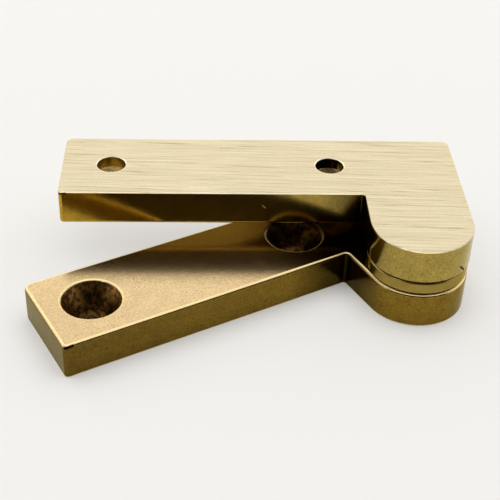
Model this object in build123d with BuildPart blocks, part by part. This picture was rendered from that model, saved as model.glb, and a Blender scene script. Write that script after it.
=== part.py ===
from build123d import *
import os

os.makedirs("parts", exist_ok=True)

# Cranked pivot hinge: two flat L-shaped leaves, one above the other, turn on a hidden pin
# with a thick washer between their knuckles. Millimetres, +Z up. The origin is on the pivot
# axis at the lower leaf's outer face, and the upper leaf's arm runs along -X.

# Plan of a leaf, the same for both
leaf_length = 64.0          # arm end to the far side of the knuckle
arm_width = 16.1
knuckle_radius = 7.95       # 5/8 in across
crank_offset = 7.5          # pivot axis to the arm's inner edge
back_corner_radius = 1.2     # both corners of the arm's back edge
end_corner_radius = 0.6      # arm end's corner on the crank side
crank_corner_radius = 0.5

# Section of a leaf
leaf_thickness = 5.9
edge_rounding = 0.5         # tumbled edge round the inner face
ground_edge_width = 0.08    # what grinding the outer face leaves of that rounding, measured
ground_edge_depth = 0.18    # across the face and down the side
hole_break = 0.1            # small break round the holes in the outer face

# Screw holes, countersunk from the inner faces for flush heads between the leaves
screw_hole_radius = 2.3     # clearance for a No. 8 wood screw
countersink_radius = 4.65
countersink_angle = 60      # included angle
rim_rounding = 0.43
hole_end_distance = 7.85    # arm end to the first hole
hole_back_distance = 7.9    # arm's back edge to the line of holes
hole_pitch = 35.4

# Thrust washer
washer_radius = 7.85
washer_thickness = 1.9
washer_chamfer = 0.15
gap_below_washer = 0.3      # end play
gap_above_washer = 0.1

# Pivot pin, pressed into the lower leaf, running in the washer and the upper leaf
pin_radius = 3.175          # 1/4 in dowel
pin_seat_depth = 4.0        # pressed length in the lower leaf
pin_reach = 3.9             # running length in the upper leaf
pin_chamfer = 0.4
press_interference = 0.01   # radial
running_clearance = 0.04    # radial, pin to upper leaf
washer_clearance = 0.06     # radial, pin to washer
pin_end_clearance = 0.2     # pin's tip to the floor of its bore
bore_chamfer = 0.3

# How far the hinge stands open, by turning the lower leaf about the pivot
opening_angle = 27.9

# Places worked out from the sizes above
arm_end = knuckle_radius - leaf_length
arm_back = crank_offset + arm_width
hole_line = arm_back - hole_back_distance
hole_places = [(arm_end + hole_end_distance + i * hole_pitch, hole_line) for i in range(2)]
washer_level = leaf_thickness + gap_below_washer
upper_level = washer_level + washer_thickness + gap_above_washer
pin_foot = leaf_thickness - pin_seat_depth
pin_tip = upper_level + pin_reach


with BuildSketch() as leaf_plan:
    with BuildLine():
        Polyline(
            (-knuckle_radius, 0),
            (-knuckle_radius, crank_offset),
            (arm_end, crank_offset),
            (arm_end, arm_back),
            (knuckle_radius, arm_back),
            (knuckle_radius, 0),
        )
        ThreePointArc((knuckle_radius, 0), (0, -knuckle_radius), (-knuckle_radius, 0))
    make_face()
    crank_corner = leaf_plan.vertices().sort_by_distance((-knuckle_radius, crank_offset))[0]
    fillet(crank_corner, crank_corner_radius)
    fillet(leaf_plan.vertices().group_by(Axis.Y)[-1], back_corner_radius)
    fillet(leaf_plan.vertices().group_by(Axis.X)[0].sort_by(Axis.Y)[0], end_corner_radius)


def finish_leaf(leaf, plane, inner_side_up, bore_radius, bore_depth):
    """Drill the pivot bore and the screw holes from the inner face, then ease every edge.

    It runs inside the leaf's own block, and the plane is the underside of the leaf. The
    inner face is rounded all round, and the ground outer face ends in a crisp edge.
    """
    inner_level = leaf_thickness if inner_side_up else 0
    drill_turn = (0, 0, 0) if inner_side_up else (180, 0, 0)
    with Locations(plane.location * Location((0, 0, inner_level), drill_turn)):
        Hole(bore_radius, depth=bore_depth)
    for x, y in hole_places:
        with Locations(plane.location * Location((x, y, inner_level), drill_turn)):
            CounterSinkHole(
                screw_hole_radius, countersink_radius, counter_sink_angle=countersink_angle
            )
    flat_faces = leaf.faces().filter_by(Axis.Z).sort_by(Axis.Z)
    inner_face, outer_face = flat_faces[-1], flat_faces[0]
    if not inner_side_up:
        inner_face, outer_face = outer_face, inner_face
    bore_rim, *screw_rims = inner_face.inner_wires().sort_by_distance(plane.origin)
    hole_edges = outer_face.inner_wires().edges()
    fillet(inner_face.outer_wire().edges(), edge_rounding)
    chamfer(bore_rim.edges(), bore_chamfer)
    for rim in screw_rims:
        fillet(rim.edges(), rim_rounding)
    chamfer(hole_edges, hole_break)
    ground_face = leaf.faces().filter_by(Axis.Z).sort_by(Axis.Z)[0 if inner_side_up else -1]
    chamfer(
        ground_face.outer_wire().edges(), ground_edge_width, ground_edge_depth, reference=ground_face
    )


# Lower leaf, turned open about the pivot, its countersinks facing up
lower_plane = Plane.XY.rotated((0, 0, opening_angle))
with BuildPart() as lower_leaf:
    with BuildSketch(lower_plane):
        add(leaf_plan.sketch)
    extrude(amount=leaf_thickness)
    finish_leaf(lower_leaf, lower_plane, True, pin_radius - press_interference, pin_seat_depth)

# Upper leaf, the same plan the other way up, its countersinks facing down
upper_plane = Plane.XY.offset(upper_level)
with BuildPart() as upper_leaf:
    with BuildSketch(upper_plane):
        add(leaf_plan.sketch)
    extrude(amount=leaf_thickness)
    finish_leaf(
        upper_leaf,
        upper_plane,
        False,
        pin_radius + running_clearance,
        pin_reach + pin_end_clearance,
    )

# Thrust washer, turned from bar
with BuildPart() as thrust_washer:
    with BuildSketch(Plane.XY.offset(washer_level)):
        Circle(washer_radius)
        Circle(pin_radius + washer_clearance, mode=Mode.SUBTRACT)
    extrude(amount=washer_thickness)
    chamfer(thrust_washer.edges(), washer_chamfer)

# Pivot pin, a plain dowel with chamfered ends
with BuildPart() as pivot_pin:
    with BuildSketch(Plane.XY.offset(pin_foot)):
        Circle(pin_radius)
    extrude(amount=pin_tip - pin_foot)
    chamfer(pivot_pin.edges().filter_by(GeomType.CIRCLE), pin_chamfer)


lower_leaf.part.label = "lower_leaf"
upper_leaf.part.label = "upper_leaf"
thrust_washer.part.label = "thrust_washer"
pivot_pin.part.label = "pivot_pin"

export_step(lower_leaf.part, "parts/lower_leaf.step")
export_step(upper_leaf.part, "parts/upper_leaf.step")
export_step(thrust_washer.part, "parts/thrust_washer.step")
export_step(pivot_pin.part, "parts/pivot_pin.step")
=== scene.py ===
"""Cranked cabinet pivot hinge in solid brass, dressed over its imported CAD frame.

The four CAD solids keep their shapes. This script gives each of them the finish of the real
piece: brass leaves that were tumbled all over and then ground bright on their outer faces, a
turned brass thrust washer and a ground steel pivot pin. It also makes the studio: a pale
floor, soft boxes and the camera.
"""

import logging
import math
from dataclasses import dataclass
from enum import Enum
from typing import Any

import bpy
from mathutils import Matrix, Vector

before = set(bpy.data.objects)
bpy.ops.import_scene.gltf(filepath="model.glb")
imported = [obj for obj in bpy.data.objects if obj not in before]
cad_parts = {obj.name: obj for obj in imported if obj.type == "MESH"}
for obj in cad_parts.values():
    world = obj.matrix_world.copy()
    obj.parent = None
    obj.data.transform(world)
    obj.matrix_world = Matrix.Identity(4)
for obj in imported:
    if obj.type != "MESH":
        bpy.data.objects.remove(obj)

LOG = logging.getLogger("hinge")
MM_PER_M = 1000.0
M_PER_MM = 0.001
WHITE = "#FFFFFF"
NOISE_MIDDLE = 0.5
IN_PLAN = (1.0, 1.0, 0.0)

# The curve of the sRGB standard
SRGB_KNEE = 0.04045
SRGB_TOE_SLOPE = 12.92
SRGB_OFFSET = 0.055
SRGB_POWER = 2.4

Colour = tuple[float, float, float, float]
Triple = tuple[float, float, float]
Pair = tuple[float, float]
Tree = bpy.types.NodeTree
Socket = bpy.types.NodeSocket


class OuterFace(Enum):
    """Which way a leaf's ground outer face looks, as the sign of its normal along Z."""

    UP = 1.0
    DOWN = -1.0


def linear(hex_code: str) -> Colour:
    """Turn an sRGB hex colour into the linear colour that a socket takes.

    Args:
        hex_code: Six hex digits after a hash.

    Returns:
        Linear red, green, blue and an alpha of one.
    """
    digits = hex_code.lstrip("#")
    channels = [int(digits[i : i + 2], 16) / 255 for i in (0, 2, 4)]
    r, g, b = (
        c / SRGB_TOE_SLOPE
        if c <= SRGB_KNEE
        else ((c + SRGB_OFFSET) / (1 + SRGB_OFFSET)) ** SRGB_POWER
        for c in channels
    )
    return (r, g, b, 1.0)


def add_node(
    tree: Tree, kind: str, inputs: dict[str, Any], output: str = "", **settings: Any
) -> Socket:
    """Add one shader node with its settings, and fill or link its inputs.

    Args:
        tree: The node tree that takes the node.
        kind: Blender's type name of the node without "ShaderNode", such as "TexNoise".
        inputs: Identifier of each socket to a value or to the output socket to link from.
        output: Identifier of the output that the caller wants; the first one if left out.
        settings: Attributes of the node itself, such as operation="MULTIPLY".

    Returns:
        The output socket, or the first input where the node has no outputs.
    """
    node = tree.nodes.new("ShaderNode" + kind)
    for name, value in settings.items():
        setattr(node, name, value)
    sockets = {socket.identifier: socket for socket in node.inputs}
    for identifier, value in inputs.items():
        if isinstance(value, Socket):
            tree.links.new(value, sockets[identifier])
        else:
            sockets[identifier].default_value = value
    found = [socket for socket in node.outputs if socket.identifier == output]
    return (found or list(node.outputs) or list(node.inputs))[0]


def new_material(name: str) -> tuple[bpy.types.Material, Tree]:
    """Make a node material with an empty tree.

    Args:
        name: The material's name.

    Returns:
        The material and its tree.
    """
    material = bpy.data.materials.new(name)
    material.use_nodes = True
    material.node_tree.nodes.clear()
    return material, material.node_tree


def millimetres(tree: Tree, turn_deg: float = 0.0) -> Socket:
    """Give the point on the piece in millimetres, in the piece's own plan.

    Args:
        tree: The material's tree.
        turn_deg: How far the piece stands turned about the pivot.

    Returns:
        The socket with the point.
    """
    place = add_node(tree, "TexCoord", {}, "Object")
    return add_node(
        tree,
        "Mapping",
        {
            "Vector": place,
            "Rotation": (0.0, 0.0, -math.radians(turn_deg)),
            "Scale": (MM_PER_M, MM_PER_M, MM_PER_M),
        },
    )


def plan_distance(tree: Tree, point: Socket, centre_mm: Pair = (0.0, 0.0)) -> Socket:
    """Measure how far a point is from an upright line.

    Args:
        tree: The material's tree.
        point: The point in millimetres.
        centre_mm: The line's place in plan.

    Returns:
        The socket with the distance in millimetres.
    """
    offset = add_node(
        tree,
        "VectorMath",
        {"Vector": point, "Vector_001": (*centre_mm, 0.0)},
        operation="SUBTRACT",
    )
    offset = add_node(
        tree, "VectorMath", {"Vector": offset, "Vector_001": IN_PLAN}, operation="MULTIPLY"
    )
    return add_node(tree, "VectorMath", {"Vector": offset}, "Value", operation="LENGTH")


def stretched_noise(tree: Tree, point: Socket, stretch: Triple, **inputs: float) -> Socket:
    """Draw noise whose grains have their own length, width and height.

    Args:
        tree: The material's tree.
        point: The point in millimetres.
        stretch: Grains per millimetre along X, Y and Z.
        inputs: The noise texture's other inputs, such as Detail.

    Returns:
        The socket with the noise from 0 to 1.
    """
    scaled = add_node(
        tree, "VectorMath", {"Vector": point, "Vector_001": stretch}, operation="MULTIPLY"
    )
    return add_node(tree, "TexNoise", {"Vector": scaled, "Scale": 1.0, **inputs}, "Fac")


def contour_lines(tree: Tree, field: Socket, half_band: float) -> Socket:
    """Draw thin lines where a noise crosses its middle value.

    Args:
        tree: The material's tree.
        field: The noise from 0 to 1.
        half_band: How far the noise is off its middle value where a line ends.

    Returns:
        The socket with 1 in the middle of a line, falling to 0 at its sides.
    """
    off_line = add_node(
        tree, "Math", {"Value": field, "Value_001": NOISE_MIDDLE}, operation="SUBTRACT"
    )
    off_line = add_node(tree, "Math", {"Value": off_line}, operation="ABSOLUTE")
    return add_node(
        tree,
        "MapRange",
        {"Value": off_line, "From Max": half_band, "To Min": 1.0, "To Max": 0.0},
        interpolation_type="SMOOTHSTEP",
    )


@dataclass(frozen=True)
class TumbledMarks:
    """What the tumbling media leave on brass: a fine peened grain, pits and short strokes.

    The grain is 0.2 mm across, the pits 0.3 mm and the strokes 0.1 mm wide and about 1 mm
    long. The real ones are down to half of that, which is too fine to show. Each range holds
    the two noise values between which a mark goes from nothing to its full strength.
    """

    grain_per_mm: float = 5.5
    grain_range: Pair = (0.34, 0.66)
    grain_depth: float = 0.31
    mottle_per_mm: float = 0.6
    mottle_range: Pair = (0.3, 0.7)
    mottle_tones: Pair = (0.9, 1.08)
    stroke_per_mm: float = 1.5
    stroke_half_band: float = 0.06
    stroke_depth: float = 0.32
    gap_per_stroke: float = 1.9
    gap_range: Pair = (0.44, 0.56)
    pit_per_mm: float = 1.0
    pit_radius: float = 0.15
    pit_floor_share: float = 0.4
    pit_depth: float = 0.4
    pit_pick: Pair = (0.62, 0.7)

    def tone_and_height(self, tree: Tree, point: Socket) -> tuple[Socket, Socket]:
        """Draw the marks.

        Args:
            tree: The material's tree.
            point: The point in millimetres.

        Returns:
            The sockets with a tone round one, which multiplies the colour, and a height.
        """
        grain = add_node(
            tree,
            "TexNoise",
            {"Vector": point, "Scale": self.grain_per_mm, "Detail": 3.0, "Roughness": 0.7},
            "Fac",
        )
        mottle = add_node(
            tree, "TexNoise", {"Vector": point, "Scale": self.mottle_per_mm, "Detail": 2.0}, "Fac"
        )
        grain_tones = (1.0 - self.grain_depth, 1.0 + self.grain_depth)
        tone = self._strokes_and_pits(tree, point)
        for noise, (start, end), (darkest, lightest) in (
            (mottle, self.mottle_range, self.mottle_tones),
            (grain, self.grain_range, grain_tones),
        ):
            shade = add_node(
                tree,
                "MapRange",
                {
                    "Value": noise,
                    "From Min": start,
                    "From Max": end,
                    "To Min": darkest,
                    "To Max": lightest,
                },
            )
            tone = add_node(
                tree, "Math", {"Value": tone, "Value_001": shade}, operation="MULTIPLY"
            )
        return tone, grain

    def _strokes_and_pits(self, tree: Tree, point: Socket) -> Socket:
        """Draw the dark marks.

        Args:
            tree: The material's tree.
            point: The point in millimetres.

        Returns:
            The socket with 1 on the plain surface and less in a stroke or a pit.
        """
        tone: Socket | float = 1.0
        for line, strength in (self._strokes(tree, point), self._pits(tree, point)):
            cut = add_node(
                tree, "Math", {"Value": line, "Value_001": strength}, operation="MULTIPLY"
            )
            left = add_node(tree, "Math", {"Value": 1.0, "Value_001": cut}, operation="SUBTRACT")
            tone = add_node(
                tree, "Math", {"Value": tone, "Value_001": left}, operation="MULTIPLY"
            )
        return tone

    def _strokes(self, tree: Tree, point: Socket) -> tuple[Socket, Socket]:
        """Draw the short curved strokes as broken contour lines of a noise.

        Args:
            tree: The material's tree.
            point: The point in millimetres.

        Returns:
            The sockets with 1 on a line, and with how strong the line is there.
        """
        field = add_node(
            tree, "TexNoise", {"Vector": point, "Scale": self.stroke_per_mm, "Detail": 1.0}, "Fac"
        )
        line = contour_lines(tree, field, self.stroke_half_band)
        gaps = add_node(
            tree,
            "TexNoise",
            {"Vector": point, "Scale": self.gap_per_stroke * self.stroke_per_mm, "Detail": 0.0},
            "Fac",
        )
        start, end = self.gap_range
        kept = add_node(
            tree,
            "MapRange",
            {"Value": gaps, "From Min": start, "From Max": end, "To Max": self.stroke_depth},
            interpolation_type="SMOOTHSTEP",
        )
        return line, kept

    def _pits(self, tree: Tree, point: Socket) -> tuple[Socket, Socket]:
        """Draw the pits, in about one cell of three.

        Args:
            tree: The material's tree.
            point: The point in millimetres.

        Returns:
            The sockets with how deep a pit is there, and with 1 in a cell that has one.
        """
        cells = add_node(
            tree, "TexVoronoi", {"Vector": point, "Scale": self.pit_per_mm}, "Distance"
        )
        shade = add_node(
            tree, "TexVoronoi", {"Vector": point, "Scale": self.pit_per_mm}, "Color"
        )
        start, end = self.pit_pick
        pick = add_node(tree, "MapRange", {"Value": shade, "From Min": start, "From Max": end})
        pit = add_node(
            tree,
            "MapRange",
            {
                "Value": cells,
                "From Min": self.pit_floor_share * self.pit_radius,
                "From Max": self.pit_radius,
                "To Min": self.pit_depth,
                "To Max": 0.0,
            },
            interpolation_type="SMOOTHSTEP",
        )
        return pit, pick


@dataclass(frozen=True)
class BeltGrain:
    """The fine scratches that a grinding belt leaves along the arm.

    A 120 grit belt cuts scratches about 0.05 mm wide. They are drawn 0.2 mm wide and 12 mm
    long, as coarse as they need to be to show, with a speckle of broken grain over them.
    The slants are in radians.
    """

    fine_per_mm: Triple = (0.08, 5.5, 0.1)
    broad_per_mm: Triple = (0.02, 1.1, 0.1)
    broad_share: float = 0.15
    deep_per_mm: Triple = (0.025, 2.3, 0.1)
    deep_half_band: float = 0.026
    gap_per_mm: Triple = (0.08, 1.6, 0.1)
    gap_range: Pair = (0.42, 0.58)
    fine_slant: float = 0.02
    deep_slant: float = 0.05
    speckle_per_mm: float = 5.0
    speckle_share: float = 0.22
    lit_range: Pair = (0.16, 0.69)

    def tone_and_height(self, tree: Tree, point: Socket) -> tuple[Socket, Socket]:
        """Draw the scratches.

        Args:
            tree: The material's tree.
            point: The point in millimetres, with the arm along X.

        Returns:
            The sockets with a blend from 0, a dark scratch, to 1, and with the height.
        """
        level = add_node(
            tree, "Mapping", {"Vector": point, "Rotation": (0.0, 0.0, self.fine_slant)}
        )
        fine = stretched_noise(tree, level, self.fine_per_mm, Detail=2.0, Roughness=0.7)
        broad = stretched_noise(tree, level, self.broad_per_mm, Detail=2.0)
        speckle = add_node(
            tree,
            "TexNoise",
            {"Vector": point, "Scale": self.speckle_per_mm, "Detail": 1.0},
            "Fac",
        )
        blend = fine
        for share, noise in ((self.broad_share, broad), (self.speckle_share, speckle)):
            blend = add_node(
                tree,
                "Mix",
                {"Factor_Float": share, "A_Float": blend, "B_Float": noise},
                "Result_Float",
            )
        start, end = self.lit_range
        lit = add_node(tree, "MapRange", {"Value": blend, "From Min": start, "From Max": end})
        tone = add_node(
            tree,
            "Math",
            {"Value": lit, "Value_001": self._deep_lines(tree, point)},
            operation="SUBTRACT",
            use_clamp=True,
        )
        return tone, fine

    def _deep_lines(self, tree: Tree, point: Socket) -> Socket:
        """Draw the few deeper scratches, which break off here and there.

        Args:
            tree: The material's tree.
            point: The point in millimetres, with the arm along X.

        Returns:
            The socket with 1 in a deep scratch and 0 elsewhere.
        """
        slanted = add_node(
            tree, "Mapping", {"Vector": point, "Rotation": (0.0, 0.0, self.deep_slant)}
        )
        deep = stretched_noise(tree, slanted, self.deep_per_mm, Detail=2.0)
        line = contour_lines(tree, deep, self.deep_half_band)
        gaps = stretched_noise(tree, slanted, self.gap_per_mm, Detail=1.0)
        start, end = self.gap_range
        kept = add_node(tree, "MapRange", {"Value": gaps, "From Min": start, "From Max": end})
        return add_node(tree, "Math", {"Value": line, "Value_001": kept}, operation="MULTIPLY")


@dataclass(frozen=True)
class NickOrPaintedLine:
    """A short knock in the brass along a line between two points on its surface, or a painted
    dark reflection drawn the same way.
    """

    start_mm: Triple
    end_mm: Triple
    tone: str
    half_width_mm: float = 0.13
    fade_ratio: float = 1.6

    def mask(self, tree: Tree, point: Socket) -> Socket:
        """Find the nick.

        Args:
            tree: The material's tree.
            point: The point in millimetres.

        Returns:
            The socket with 1 in the mark and 0 elsewhere.
        """
        start, end = Vector(self.start_mm), Vector(self.end_mm)
        half = (end - start) / 2
        offset = add_node(
            tree,
            "VectorMath",
            {"Vector": point, "Vector_001": tuple(start + half)},
            operation="SUBTRACT",
        )
        along = add_node(
            tree,
            "VectorMath",
            {"Vector": offset, "Vector_001": tuple(half / half.length_squared)},
            "Value",
            operation="DOT_PRODUCT",
        )
        along = add_node(tree, "Clamp", {"Value": along, "Min": -1.0, "Max": 1.0})
        nearest = add_node(
            tree, "VectorMath", {"Vector": tuple(half), "Scale": along}, operation="SCALE"
        )
        away = add_node(
            tree, "VectorMath", {"Vector": offset, "Vector_001": nearest}, operation="SUBTRACT"
        )
        away = add_node(tree, "VectorMath", {"Vector": away}, "Value", operation="LENGTH")
        return add_node(
            tree,
            "MapRange",
            {
                "Value": away,
                "From Min": self.half_width_mm,
                "From Max": self.fade_ratio * self.half_width_mm,
                "To Min": 1.0,
                "To Max": 0.0,
            },
            interpolation_type="SMOOTHSTEP",
        )


@dataclass
class CadPiece:
    """One CAD solid, dressed in the finish of the real piece."""

    node: str
    slot: str

    def dress(self, material: bpy.types.Material) -> None:
        """Put the finish on in place of the plain one that it was packed with.

        Args:
            material: The finish.
        """
        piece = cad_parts[self.node]
        piece.data.materials.clear()
        piece.data.materials.append(material)
        LOG.info("%s dressed in %s", self.node, material.name)


@dataclass
class Leaf(CadPiece):
    """One cranked leaf, with the sizes of the CAD that its finish follows.

    The places are in the leaf's own plan, with the pivot at the origin and the arm along -X.
    """

    outer_face: OuterFace
    outer_level_mm: float = 0.0
    arm_turn_deg: float = 0.0
    hole_middle_mm: Pair = (-30.5, 15.7)
    hole_pitch_mm: float = 35.4
    hole_radius_mm: float = 2.3
    countersink_radius_mm: float = 4.65
    crank_corner_mm: Pair = (-7.95, 7.5)


@dataclass(frozen=True)
class LeafZones:
    """Where a leaf has which surface: masks with 1 in their own zone and 0 elsewhere.

    Attributes:
        point: The point in millimetres, with the arm along X.
        steep: How far the surface faces up or down, from 0 to 1.
        flat: The flat faces, as against the narrow sides.
        ground: The outer face with its crisp edge.
        bored: The bores of the screw holes.
        sunk: The countersinks.
        deburred_and_sheen: The broken edges of the holes in the outer face, with a painted
            highlight.
        shaded_rims: A ring over the rim of each countersink, which takes painted shade.
        rubbed_and_sheen: The rounded edges, worn smooth, with a painted highlight.
    """

    point: Socket
    steep: Socket
    flat: Socket
    ground: Socket
    bored: Socket
    sunk: Socket
    deburred_and_sheen: Socket
    shaded_rims: Socket
    rubbed_and_sheen: Socket


@dataclass(frozen=True)
class LeafBrass:
    """Brass bar, tumbled to a mellow peened skin, its outer face then ground bright.

    Ground brass is pale and silky with long scratches along the arm. The tumbled skin is
    deeper in colour and half glossy, so it mirrors what stands near it. Its narrow sides are
    painted darker than its flat faces, as painted shade. Its rounded edges are worn smooth and
    carry a painted highlight. The countersinks are spotted with brown oxide. Painted shade
    darkens the inner face by the knuckle, where the other leaf shades it, and the corner of
    the crank.

    A facing is how far a surface faces up or down, from 0 to 1, and gives a zone's soft
    border. The rims and lips are measured from a hole's or a countersink's radius.
    """

    leaf: Leaf
    nicks_and_painted_lines: tuple[NickOrPaintedLine, ...] = ()

    ground_light: str = "#ECDFC2"
    ground_dark: str = "#B9A97E"
    # The broken edges round the holes in the ground face, made lighter as a painted highlight.
    deburred_and_sheen_tone: str = "#F6ECCC"
    # The flat faces take the light inner tone. The narrow sides take the darker side tone, which
    # is painted shade.
    inner_tone: str = "#E5C795"
    side_tone: str = "#A48E47"
    # Sides towards the arm's end: a lighter tone as a painted reflection on the upper leaf, and a
    # darker one as painted shade on the lower.
    arm_end_painted_tone: str = "#BA9430"
    oxide_dark: str = "#3A2A18"
    oxide_light: str = "#7E5A28"
    bore_tone: str = "#7E5C14"
    # Worn rounded edges and countersink rims, made lighter as a painted highlight.
    rubbed_and_sheen_tone: str = "#F9E3A8"
    grazing_tone: str = "#FFFCE4"
    # Painted shade over the inner face near the pivot and on the countersink rims.
    pivot_shade_tone: str = "#92723A"

    ground_roughness: float = 0.4
    ground_edge_roughness: float = 0.22
    inner_roughness: float = 0.12
    side_roughness: float = 0.15
    rubbed_roughness: float = 0.45
    sunk_roughness: float = 0.38
    marking_roughness: float = 0.7

    ground_facing: Pair = (0.25, 0.4)
    ground_gloss_facing: Pair = (0.6, 0.9)
    flat_facing: Pair = (0.25, 0.85)
    rubbed_and_sheen_facing: Pair = (0.72, 0.88)
    level_facing: Pair = (0.985, 0.9995)

    ring_fade_mm: float = 0.05
    bored_lip_mm: float = 0.1
    deburred_and_sheen_lip_mm: float = 0.2
    oxide_from_mm: float = 2.1
    oxide_short_mm: float = 0.15
    oxide_per_mm: float = 1.4
    oxide_range: Pair = (0.42, 0.58)
    # The ring over each countersink rim that takes painted shade.
    shaded_rim_mm: Pair = (-0.35, 0.3)
    rubbed_and_sheen_rim_mm: Pair = (-0.05, 0.08)

    peened_mm: float = 0.006
    peened_flat_share: float = 0.55
    scratch_mm: float = 0.0008
    crown_slope: float = 0.06
    crown_bend_per_mm: float = 0.005
    arm_end_span: Pair = (1 / 3, 2.0)
    # Painted shade towards the crank's inner corner, darkest in it.
    corner_darkness: float = 0.42
    corner_reach_mm: float = 8.0
    corner_core: float = 0.2
    crease_shade_darkness: float = 0.24
    crease_shade_reach_mm: float = 1.6
    crease_shade_core: float = 0.5
    # Painted shade over the inner face near the pivot.
    pivot_shade_middle_mm: Pair = (-4.0, 16.0)
    pivot_shade_reach_mm: float = 19.0
    pivot_shade_core: float = 0.45

    def material(self) -> bpy.types.Material:
        """Build the material.

        Returns:
            The finished node material.
        """
        material, tree = new_material(f"tumbled_ground_brass_{self.leaf.node}")
        zones = self._zones(tree)
        scratch_tone, scratch_height = BeltGrain().tone_and_height(tree, zones.point)
        peened_tone, peened_height = TumbledMarks().tone_and_height(tree, zones.point)
        ground_colour = self._ground_colour(tree, zones, scratch_tone)
        colour = self._colour(tree, zones, peened_tone, ground_colour)
        roughness = self._roughness(tree, zones)
        for marking in self.nicks_and_painted_lines:
            marked_here = marking.mask(tree, zones.point)
            colour = add_node(
                tree,
                "Mix",
                {"Factor_Float": marked_here, "A_Color": colour, "B_Color": linear(marking.tone)},
                "Result_Color",
                data_type="RGBA",
            )
            roughness = add_node(
                tree,
                "Mix",
                {"Factor_Float": marked_here, "A_Float": roughness, "B_Float": self.marking_roughness},
                "Result_Float",
            )
        height = self._height(tree, zones, peened_height, scratch_height)
        bump = add_node(tree, "Bump", {"Height": height, "Strength": 1.0, "Distance": M_PER_MM})
        shader = add_node(
            tree,
            "BsdfPrincipled",
            {
                "Base Color": colour,
                "Metallic": 1.0,
                "Roughness": roughness,
                "Specular Tint": linear(self.grazing_tone),
                "Normal": bump,
            },
        )
        add_node(tree, "OutputMaterial", {"Surface": shader})
        return material

    def _zones(self, tree: Tree) -> LeafZones:
        """Tell the leaf's surfaces apart by which way they face and how far in they lie.

        Args:
            tree: The material's tree.

        Returns:
            The masks.
        """
        point = millimetres(tree, self.leaf.arm_turn_deg)
        normal = add_node(tree, "TexCoord", {}, "Normal")
        facing = add_node(tree, "SeparateXYZ", {"Vector": normal}, "Z")
        steep = add_node(tree, "Math", {"Value": facing}, operation="ABSOLUTE")
        up = self.leaf.outer_face.value
        masks = []
        for value, (start, end), sign in (
            (facing, self.ground_facing, up),
            (steep, self.flat_facing, 1.0),
        ):
            masks.append(
                add_node(
                    tree,
                    "MapRange",
                    {"Value": value, "From Min": sign * start, "From Max": sign * end},
                    interpolation_type="SMOOTHSTEP",
                )
            )
        ground, flat = masks
        radius = self._hole_radius(tree, point)
        hole, lip = self.leaf.hole_radius_mm, self.leaf.countersink_radius_mm
        rim_inside, rim_outside = self.shaded_rim_mm
        return LeafZones(
            point=point,
            steep=steep,
            flat=flat,
            ground=ground,
            bored=self._ring(tree, radius, 0.0, hole + self.bored_lip_mm),
            sunk=self._ring(tree, radius, self.oxide_from_mm, lip - self.oxide_short_mm),
            deburred_and_sheen=self._ring(tree, radius, 0.0, hole + self.deburred_and_sheen_lip_mm),
            shaded_rims=self._ring(tree, radius, lip + rim_inside, lip + rim_outside),
            rubbed_and_sheen=self._rubbed_and_sheen(tree, steep, radius),
        )

    def _ground_colour(self, tree: Tree, zones: LeafZones, scratch_tone: Socket) -> Socket:
        """Colour the ground face: light brass, darker in the scratches, with a painted highlight
        at the holes.

        Args:
            tree: The material's tree.
            zones: The leaf's zones.
            scratch_tone: The belt's scratches, from 0 in a dark one to 1.

        Returns:
            The socket with the colour.
        """
        colour: Socket | Colour = linear(self.ground_dark)
        for mask, tone in (
            (scratch_tone, self.ground_light),
            # A painted highlight on the broken edges of the holes.
            (zones.deburred_and_sheen, self.deburred_and_sheen_tone),
        ):
            colour = add_node(
                tree,
                "Mix",
                {"Factor_Float": mask, "A_Color": colour, "B_Color": linear(tone)},
                "Result_Color",
                data_type="RGBA",
            )
        return colour

    def _colour(
        self, tree: Tree, zones: LeafZones, peened_tone: Socket, ground_colour: Socket
    ) -> Socket:
        """Lay the colours of the whole leaf over each other.

        Args:
            tree: The material's tree.
            zones: The leaf's zones.
            peened_tone: The tumbled marks, as a tone round one.
            ground_colour: The colour of the ground face.

        Returns:
            The socket with the colour.
        """
        peened = add_node(
            tree,
            "MapRange",
            {"Value": zones.flat, "To Min": 1.0, "To Max": self.peened_flat_share},
        )
        pivot_shade_colour = self._pivot_shade(tree, zones.point)
        layers = (
            # Painted light and shade on the sides towards the arm's end.
            ("MIX", self._arm_end(tree, zones.point), linear(self.arm_end_painted_tone)),
            # The flat faces are lighter than the sides, whose darker tone is painted shade.
            ("MIX", zones.flat, linear(self.inner_tone)),
            ("MULTIPLY", peened, peened_tone),
            ("MIX", zones.bored, linear(self.bore_tone)),
            ("MIX", zones.sunk, self._oxide(tree, zones.point)),
            # Painted shade in the crank's inner corner.
            ("MULTIPLY", 1.0, self._crank_corner_shade(tree, zones.point)),
            # Painted shade over the inner face near the pivot.
            ("MULTIPLY", zones.flat, pivot_shade_colour),
            # Painted highlight over the worn rounded edges and countersink rims.
            ("MIX", zones.rubbed_and_sheen, linear(self.rubbed_and_sheen_tone)),
            # Painted shade over the countersink rims.
            ("MULTIPLY", zones.shaded_rims, pivot_shade_colour),
            ("MIX", zones.ground, ground_colour),
        )
        colour: Socket | Colour = linear(self.side_tone)
        for blend, mask, tone in layers:
            colour = add_node(
                tree,
                "Mix",
                {"Factor_Float": mask, "A_Color": colour, "B_Color": tone},
                "Result_Color",
                data_type="RGBA",
                blend_type=blend,
            )
        return colour

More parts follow.
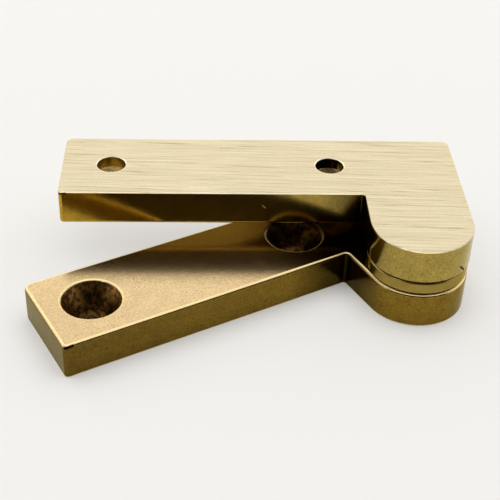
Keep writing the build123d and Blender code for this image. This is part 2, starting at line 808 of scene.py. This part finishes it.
    def _roughness(self, tree: Tree, zones: LeafZones) -> Socket:
        """Work out how rough each zone is.

        Args:
            tree: The material's tree.
            zones: The leaf's zones.

        Returns:
            The socket with the roughness.
        """
        start, end = self.ground_gloss_facing
        ground_roughness = add_node(
            tree,
            "MapRange",
            {
                "Value": zones.steep,
                "From Min": start,
                "From Max": end,
                "To Min": self.ground_edge_roughness,
                "To Max": self.ground_roughness,
            },
        )
        roughness: Socket | float = self.side_roughness
        for mask, value in (
            (zones.flat, self.inner_roughness),
            (zones.sunk, self.sunk_roughness),
            (zones.rubbed_and_sheen, self.rubbed_roughness),
            (zones.ground, ground_roughness),
        ):
            roughness = add_node(
                tree,
                "Mix",
                {"Factor_Float": mask, "A_Float": roughness, "B_Float": value},
                "Result_Float",
            )
        return roughness

    def _height(
        self, tree: Tree, zones: LeafZones, peened_height: Socket, scratch_height: Socket
    ) -> Socket:
        """Work out the relief of the marks over the crown of the sides.

        Args:
            tree: The material's tree.
            zones: The leaf's zones.
            peened_height: The relief of the tumbled skin, from 0 to 1.
            scratch_height: The relief of the ground face, from 0 to 1.

        Returns:
            The socket with the height in millimetres.
        """
        depth, relief = (
            add_node(
                tree,
                "Mix",
                {"Factor_Float": zones.ground, "A_Float": tumbled, "B_Float": ground},
                "Result_Float",
            )
            for tumbled, ground in (
                (self.peened_mm, self.scratch_mm),
                (peened_height, scratch_height),
            )
        )
        return add_node(
            tree,
            "Math",
            {"Value": relief, "Value_001": depth, "Value_002": self._crown(tree, zones.point)},
            operation="MULTIPLY_ADD",
        )

    def _crown(self, tree: Tree, point: Socket) -> Socket:
        """Draw the crown that tumbling gives the narrow sides, highest at the outer face.

        Grinding took the outer half of the crown away, so a side leans in towards the inner
        face, by 3 degrees at first and 7 at last, and mirrors what is nearer to it.

        Args:
            tree: The material's tree.
            point: The point in millimetres.

        Returns:
            The socket with the height in millimetres.
        """
        level = add_node(tree, "SeparateXYZ", {"Vector": point}, "Z")
        inwards = add_node(
            tree,
            "Math",
            {"Value": self.leaf.outer_level_mm, "Value_001": level},
            operation="SUBTRACT",
        )
        inwards = add_node(tree, "Math", {"Value": inwards}, operation="ABSOLUTE")
        slope = add_node(
            tree,
            "Math",
            {
                "Value": inwards,
                "Value_001": -self.crown_bend_per_mm,
                "Value_002": -self.crown_slope,
            },
            operation="MULTIPLY_ADD",
        )
        return add_node(
            tree, "Math", {"Value": slope, "Value_001": inwards}, operation="MULTIPLY"
        )

    def _arm_end(self, tree: Tree, point: Socket) -> Socket:
        """Find how near the arm's outer end is, whose sides take a tone of painted light and
        shade.

        Args:
            tree: The material's tree.
            point: The point in millimetres, with the arm along X.

        Returns:
            The socket with 1 at the end, falling to 0 at the knuckle.
        """
        along = add_node(tree, "SeparateXYZ", {"Vector": point}, "X")
        start, end = (share * self.leaf.hole_middle_mm[0] for share in self.arm_end_span)
        return add_node(tree, "MapRange", {"Value": along, "From Min": start, "From Max": end})

    def _hole_radius(self, tree: Tree, point: Socket) -> Socket:
        """Measure how far a point is from the nearer screw hole's axis.

        Args:
            tree: The material's tree.
            point: The point in millimetres, with the arm along X.

        Returns:
            The socket with the distance in millimetres.
        """
        offset = add_node(
            tree,
            "VectorMath",
            {"Vector": point, "Vector_001": (*self.leaf.hole_middle_mm, 0.0)},
            operation="SUBTRACT",
        )
        folded = add_node(tree, "VectorMath", {"Vector": offset}, operation="ABSOLUTE")
        return plan_distance(tree, folded, (self.leaf.hole_pitch_mm / 2, 0.0))

    def _rubbed_and_sheen(self, tree: Tree, steep: Socket, radius: Socket) -> Socket:
        """Find the rounded edges, where the tumbling rubs the skin off, which also take a painted
        highlight.

        Args:
            tree: The material's tree.
            steep: How far the surface faces up or down, from 0 to 1.
            radius: Distance to the nearer screw hole's axis, in millimetres.

        Returns:
            The socket with 1 on the rounding, outside the countersinks or on their rims.
        """
        lip = self.leaf.countersink_radius_mm
        rim_inside, rim_outside = (lip + rim for rim in self.rubbed_and_sheen_rim_mm)
        edge = add_node(
            tree,
            "MapRange",
            {"Value": radius, "From Min": lip - self.oxide_short_mm, "From Max": rim_inside},
        )
        for start, end in (self.rubbed_and_sheen_facing, reversed(self.level_facing)):
            part = add_node(
                tree,
                "MapRange",
                {"Value": steep, "From Min": start, "From Max": end},
                interpolation_type="SMOOTHSTEP",
            )
            edge = add_node(
                tree, "Math", {"Value": edge, "Value_001": part}, operation="MULTIPLY"
            )
        ring = self._ring(tree, radius, rim_inside, rim_outside)
        return add_node(tree, "Math", {"Value": edge, "Value_001": ring}, operation="MAXIMUM")

    def _ring(self, tree: Tree, radius: Socket, inside: float, outside: float) -> Socket:
        """Find the ring between two radii round each screw hole's axis.

        Args:
            tree: The material's tree.
            radius: Distance to the nearer screw hole's axis, in millimetres.
            inside: The ring's inner radius in millimetres.
            outside: Its outer radius in millimetres.

        Returns:
            The socket with 1 in the ring and 0 elsewhere.
        """
        fade = self.ring_fade_mm
        beyond, within = (
            add_node(tree, "MapRange", {"Value": radius, "From Min": start, "From Max": end})
            for start, end in ((inside - fade, inside + fade), (outside + fade, outside - fade))
        )
        return add_node(
            tree, "Math", {"Value": beyond, "Value_001": within}, operation="MULTIPLY"
        )

    def _oxide(self, tree: Tree, point: Socket) -> Socket:
        """Draw the brown oxide in the countersinks, which wears through in spots.

        Args:
            tree: The material's tree.
            point: The point in millimetres.

        Returns:
            The socket with the colour.
        """
        spots = add_node(
            tree,
            "TexNoise",
            {"Vector": point, "Scale": self.oxide_per_mm, "Detail": 5.0, "Roughness": 0.7},
            "Fac",
        )
        start, end = self.oxide_range
        worn = add_node(
            tree,
            "MapRange",
            {"Value": spots, "From Min": start, "From Max": end},
            interpolation_type="SMOOTHSTEP",
        )
        return add_node(
            tree,
            "Mix",
            {
                "Factor_Float": worn,
                "A_Color": linear(self.oxide_dark),
                "B_Color": linear(self.oxide_light),
            },
            "Result_Color",
            data_type="RGBA",
        )

    def _cloud(
        self, tree: Tree, point: Socket, middle_mm: Pair, reach_mm: float, core: float, low: float
    ) -> Socket:
        """Draw a cloud round an upright line.

        Args:
            tree: The material's tree.
            point: The point in millimetres, with the arm along X.
            middle_mm: The line's place in plan.
            reach_mm: How far the cloud goes.
            core: The share of its reach within which it is at its darkest.
            low: The factor where it is darkest.

        Returns:
            The socket with a factor, 1 away from the line and less near it.
        """
        away = plan_distance(tree, point, middle_mm)
        return add_node(
            tree,
            "MapRange",
            {"Value": away, "From Min": core * reach_mm, "From Max": reach_mm, "To Min": low},
            interpolation_type="SMOOTHSTEP",
        )

    def _crank_corner_shade(self, tree: Tree, point: Socket) -> Socket:
        """Draw painted shade that darkens the skin towards the crank's inner corner, and most in
        it.

        Args:
            tree: The material's tree.
            point: The point in millimetres, with the arm along X.

        Returns:
            The socket with a factor, 1 away from the corner and less near it.
        """
        around, within = (
            self._cloud(tree, point, self.leaf.crank_corner_mm, reach, core, low)
            for reach, core, low in (
                (self.corner_reach_mm, self.corner_core, self.corner_darkness),
                (self.crease_shade_reach_mm, self.crease_shade_core, self.crease_shade_darkness),
            )
        )
        return add_node(
            tree, "Math", {"Value": around, "Value_001": within}, operation="MULTIPLY"
        )

    def _pivot_shade(self, tree: Tree, point: Socket) -> Socket:
        """Draw painted shade over the inner face near the pivot, where the other leaf shades it.

        Args:
            tree: The material's tree.
            point: The point in millimetres, with the arm along X.

        Returns:
            The socket with a colour, white outside the shade and brown in it.
        """
        unshaded = self._cloud(
            tree, point, self.pivot_shade_middle_mm, self.pivot_shade_reach_mm, self.pivot_shade_core, 0.0
        )
        return add_node(
            tree,
            "Mix",
            {
                "Factor_Float": unshaded,
                "A_Color": linear(self.pivot_shade_tone),
                "B_Color": linear(WHITE),
            },
            "Result_Color",
            data_type="RGBA",
        )


@dataclass(frozen=True)
class RingedMetal:
    """Bare metal with the fine rings of its machining and faint cloudy patches.

    The real rings are well under 0.1 mm apart. They are drawn as coarse as they need to be
    to show, about a pixel apart, where they give a soft streak.
    """

    name: str
    light: str
    dark: str
    roughness: float
    ring_mm: float
    ring_detail: float
    patch_per_mm: float
    patch_detail: float
    patch_share: float
    bump_mm: float
    grazing_tone: str = WHITE
    blend_range: Pair = (0.3, 0.7)

    def material(self) -> bpy.types.Material:
        """Build the material.

        Returns:
            The finished node material.
        """
        material, tree = new_material(self.name)
        point = millimetres(tree)
        rings = add_node(
            tree,
            "TexNoise",
            {
                "W": self._across_rings(tree, point),
                "Scale": 1.0 / self.ring_mm,
                "Detail": self.ring_detail,
            },
            "Fac",
            noise_dimensions="1D",
        )
        patches = add_node(
            tree,
            "TexNoise",
            {"Vector": point, "Scale": self.patch_per_mm, "Detail": self.patch_detail},
            "Fac",
        )
        blend = add_node(
            tree,
            "Mix",
            {"Factor_Float": self.patch_share, "A_Float": rings, "B_Float": patches},
            "Result_Float",
        )
        start, end = self.blend_range
        blend = add_node(tree, "MapRange", {"Value": blend, "From Min": start, "From Max": end})
        colour = add_node(
            tree,
            "Mix",
            {
                "Factor_Float": blend,
                "A_Color": linear(self.dark),
                "B_Color": linear(self.light),
            },
            "Result_Color",
            data_type="RGBA",
        )
        bump = add_node(
            tree, "Bump", {"Height": rings, "Strength": 1.0, "Distance": self.bump_mm * M_PER_MM}
        )
        shader = add_node(
            tree,
            "BsdfPrincipled",
            {
                "Base Color": colour,
                "Metallic": 1.0,
                "Roughness": self.roughness,
                "Specular Tint": linear(self.grazing_tone),
                "Normal": bump,
            },
        )
        add_node(tree, "OutputMaterial", {"Surface": shader})
        return material

    def _across_rings(self, tree: Tree, point: Socket) -> Socket:
        """Give the way across the rings: along the axis, for hoops round a bar."""
        return add_node(tree, "SeparateXYZ", {"Vector": point}, "Z")


@dataclass(frozen=True)
class TurnedBrass(RingedMetal):
    """Brass bar turned in a lathe: fine rings round the axis, a soft satin gloss."""

    name: str = "turned_brass"
    light: str = "#9B8544"
    dark: str = "#8A7234"
    roughness: float = 0.22
    ring_mm: float = 0.14
    ring_detail: float = 2.0
    patch_per_mm: float = 0.5
    patch_detail: float = 3.0
    patch_share: float = 0.5
    bump_mm: float = 0.004
    grazing_tone: str = "#FFF6C8"

    def _across_rings(self, tree: Tree, point: Socket) -> Socket:
        """Give the way across the rings: outwards on the faces, along the axis on the rim.

        Args:
            tree: The material's tree.
            point: The point in millimetres.

        Returns:
            The socket with the way in millimetres.
        """
        level = super()._across_rings(tree, point)
        return add_node(
            tree,
            "Math",
            {"Value": plan_distance(tree, point), "Value_001": level},
            operation="ADD",
        )


@dataclass(frozen=True)
class GroundSteel(RingedMetal):
    """Hardened dowel steel, centreless ground: a cool grey gloss with hair-fine hoops."""

    name: str = "centreless_ground_steel"
    light: str = "#BDBDBA"
    dark: str = "#A3A3A0"
    roughness: float = 0.24
    ring_mm: float = 0.1
    ring_detail: float = 3.0
    patch_per_mm: float = 0.7
    patch_detail: float = 4.0
    patch_share: float = 0.35
    bump_mm: float = 0.002


@dataclass
class SoftBox:
    """One rectangular studio soft box, in metres, aimed at a point by the hinge."""

    name: str
    place: Triple
    size: Pair
    radiance: float
    aim: Triple = (-0.03, 0.0, 0.04)

    def hang(self) -> None:
        """Make the lamp. Its power is what gives its face the wanted radiance."""
        lamp = bpy.data.lights.new(self.name, "AREA")
        lamp.shape = "RECTANGLE"
        lamp.size, lamp.size_y = self.size
        lamp.energy = self.radiance * math.pi * self.size[0] * self.size[1]
        box = bpy.data.objects.new(self.name, lamp)
        box.location = self.place
        look = Vector(self.aim) - Vector(self.place)
        box.rotation_euler = look.to_track_quat("-Z", "Y").to_euler()
        bpy.context.scene.collection.objects.link(box)
        LOG.info("%s hung", self.name)


@dataclass
class Studio:
    """The pale floor with its low cove, the room's dim light, the boxes and the camera."""

    floor_tone: str = "#F4F2EE"
    floor_half_side: float = 1.5
    floor_drop: float = 0.00002
    cove_run: float = 0.4
    cove_rise: float = 0.5
    floor_glow: float = 0.55
    floor_glow_strength: float = 1.1
    contact_reach: float = 0.005
    contact_samples: int = 8
    room_strength: float = 0.015
    camera_place: Triple = (-0.0340627, -0.1398812, 0.1125055)
    camera_turn: Triple = (0.93224, -0.03027, -0.03408)
    lens_mm: float = 81.408
    sensor_mm: float = 36.0
    clip: Pair = (0.005, 10.0)

    def build(self) -> None:
        """Make the whole set."""
        self._floor()
        self._room()
        foot = (-0.03, 0.0, 0.0)
        below = (-0.03, -0.02, 0.0)
        boxes = (
            SoftBox("overhead_box", (-0.03, -0.02, 0.62), (1.1, 0.72), 1.2, aim=below),
            SoftBox("key_box", (-0.03, 0.42, 0.44), (1.2, 0.34), 1.0, aim=foot),
            SoftBox("back_box", (-0.03, 0.6, 0.2), (1.4, 0.38), 1.0),
            SoftBox("left_box", (-0.68, 0.1, 0.28), (0.9, 0.52), 1.2),
            SoftBox("right_box", (0.62, 0.1, 0.28), (0.9, 0.52), 1.05),
            SoftBox("front_box", (-0.03, -1.4, 0.19), (4.1, 0.3), 1.1, aim=foot),
        )
        for box in boxes:
            box.hang()
        self._camera()

    def _floor(self) -> None:
        """Lay a large matt pale floor just under the lower leaf, turned up at its sides."""
        half = self.floor_half_side
        rims = ((half, 0.0), (half + self.cove_run, self.cove_rise))
        signs = ((-1, -1), (1, -1), (1, 1), (-1, 1))
        corners = [(x * reach, y * reach, level) for reach, level in rims for x, y in signs]
        sides = [(i, (i + 1) % 4, (i + 1) % 4 + 4, i + 4) for i in range(4)]
        mesh = bpy.data.meshes.new("floor")
        mesh.from_pydata(corners, [], [(0, 1, 2, 3), *sides])
        mesh.materials.append(self._paper())
        floor = bpy.data.objects.new("floor", mesh)
        floor.location.z = -self.floor_drop
        bpy.context.scene.collection.objects.link(floor)
        LOG.info("floor laid")

    def _paper(self) -> bpy.types.Material:
        """Make the floor's matt white paper.

        Seen by the eye or in a reflection, a part of it glows white, as a floor that is lit
        from below does. The rest of it takes the hinge's shadow, and close under the hinge
        nothing glows.

        Returns:
            The finished node material.
        """
        material, tree = new_material("matt_paper_floor")
        matt = add_node(tree, "BsdfDiffuse", {"Color": linear(self.floor_tone)})
        white = add_node(
            tree,
            "Emission",
            {"Color": linear(self.floor_tone), "Strength": self.floor_glow_strength},
        )
        seen = add_node(tree, "LightPath", {}, "Is Camera Ray")
        for ray in ("Is Glossy Ray", "Is Transmission Ray"):
            mirrored = add_node(tree, "LightPath", {}, ray)
            seen = add_node(
                tree,
                "Math",
                {"Value": seen, "Value_001": mirrored},
                operation="ADD",
                use_clamp=True,
            )
        clear = add_node(
            tree,
            "AmbientOcclusion",
            {"Distance": self.contact_reach},
            "AO",
            samples=self.contact_samples,
        )
        glow = seen
        for share in (self.floor_glow, clear):
            glow = add_node(
                tree, "Math", {"Value": glow, "Value_001": share}, operation="MULTIPLY"
            )
        shader = add_node(tree, "MixShader", {"Fac": glow, "Shader": matt, "Shader_001": white})
        add_node(tree, "OutputMaterial", {"Surface": shader})
        return material

    def _room(self) -> None:
        """Fill the room with dim plain light."""
        world = bpy.data.worlds.new("studio_room")
        world.use_nodes = True
        tree = world.node_tree
        tree.nodes.clear()
        light = add_node(
            tree, "Background", {"Color": linear(WHITE), "Strength": self.room_strength}
        )
        add_node(tree, "OutputWorld", {"Surface": light})
        bpy.context.scene.world = world

    def _camera(self) -> None:
        """Stand the camera where the photograph was taken from."""
        lens = bpy.data.cameras.new("camera")
        lens.lens = self.lens_mm
        lens.sensor_width = self.sensor_mm
        lens.clip_start, lens.clip_end = self.clip
        camera = bpy.data.objects.new("camera", lens)
        camera.location = self.camera_place
        camera.rotation_euler = self.camera_turn
        bpy.context.scene.collection.objects.link(camera)
        bpy.context.scene.camera = camera
        LOG.info("camera set")


def main() -> None:
    """Dress the hinge and build the studio round it."""
    logging.basicConfig(level=logging.INFO, format="%(name)s: %(message)s")
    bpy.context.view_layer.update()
    upper = Leaf("upper_leaf", "upper_leaf_brass", OuterFace.UP, outer_level_mm=14.1)
    lower = Leaf("lower_leaf", "lower_leaf_brass", OuterFace.DOWN, arm_turn_deg=27.9)
    knuckle_nick = NickOrPaintedLine((5.38, -5.85, 9.93), (6.15, -5.03, 8.81), "#4A3410")
    arm_nick = NickOrPaintedLine((-24.0, 7.5, 11.75), (-23.5, 7.5, 11.3), "#C8A868", half_width_mm=0.04)
    # Painted dark reflections: thin black lines at the front-left corner of each leaf, just under
    # its top face.
    upper_corner_dark_reflection = NickOrPaintedLine((-55.8, 7.6, 13.72), (-54.9, 7.5, 13.82), "#0E0A06")
    lower_corner_dark_reflection = NickOrPaintedLine((-55.75, 7.6, 5.5), (-54.6, 7.52, 5.62), "#0E0A06", half_width_mm=0.16)
    upper_brass = LeafBrass(
        upper,
        nicks_and_painted_lines=(knuckle_nick, arm_nick, upper_corner_dark_reflection),
        # Painted shade: the upper leaf's inner face and its rounded inner edges are darker than
        # the lower leaf's, for the shade between the leaves.
        inner_tone="#7E6A2A",
        rubbed_and_sheen_tone="#8E7238",
        oxide_dark="#7A6030",
        oxide_light="#B89C58",
        oxide_from_mm=2.4,
    )
    lower_brass = LeafBrass(
        lower,
        nicks_and_painted_lines=(lower_corner_dark_reflection,),
        # Painted shade: the lower leaf's sides are darker than the upper leaf's and darkest
        # towards the arm's end, with deeper and wider shade by the crank corner.
        side_tone="#7E6423",
        arm_end_painted_tone="#644E1E",
        inner_roughness=0.17,
        corner_darkness=0.3,
        corner_reach_mm=12.0,
    )
    upper.dress(upper_brass.material())
    lower.dress(lower_brass.material())
    CadPiece("thrust_washer", "washer_brass").dress(TurnedBrass().material())
    CadPiece("pivot_pin", "pin_steel").dress(GroundSteel().material())
    Studio().build()
    bpy.context.scene.view_settings.view_transform = "Standard"


if __name__ == "__main__":
    main()
